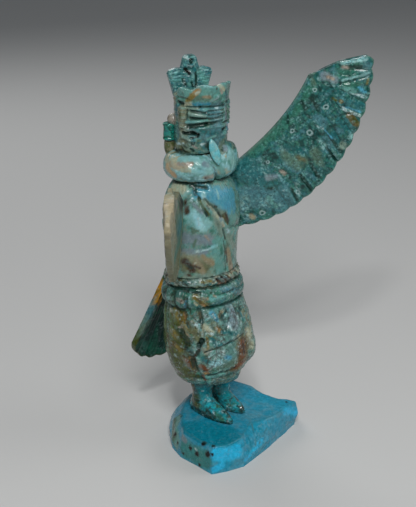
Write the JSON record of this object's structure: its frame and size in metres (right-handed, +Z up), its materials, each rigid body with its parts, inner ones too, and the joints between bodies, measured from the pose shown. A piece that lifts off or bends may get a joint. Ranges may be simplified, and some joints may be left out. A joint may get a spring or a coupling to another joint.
{
  "type": "stone fetish carving",
  "caption": "Turquoise carving of a winged, masked dancer standing on a cut stone slab, with a fanned tail and a bird crest.",
  "frame": {"origin": "under the slab, on its flat underside, at the middle of the slab", "axes": "+Z up, -Y the way that the dancer's body and feet face, +X to the dancer's left"},
  "size_m": [0.076, 0.0539, 0.0984],
  "materials": {
    "slab_stone": "polished, bright sky blue with brown matrix spots",
    "body_stone": "polished, mottled green and pale blue with brown and rust matrix",
    "left_wing_stone": "polished, dark teal with pale rings and specks",
    "right_wing_stone": "polished, beige rim with teal and brown patches",
    "tail_stone": "polished, dark green with an ochre head",
    "crest_stone": "polished, grey-blue with dark specks",
    "feather_stone": "polished, pale blue",
    "blue_bead_stone": "polished, light blue",
    "green_bead_stone": "polished, dark green",
    "drop_stone": "satin, olive"
  },
  "bodies": {
    "root": {"slab": "slab_stone", "dancer": "body_stone", "left_wing": "left_wing_stone", "right_wing": "right_wing_stone", "tail_fan": "tail_stone", "bird_crest": "crest_stone", "chin_feather": "feather_stone", "left_ear_bead": "blue_bead_stone", "right_ear_bead": "green_bead_stone", "right_ear_drop": "drop_stone"}
  },
  "joints": []
}
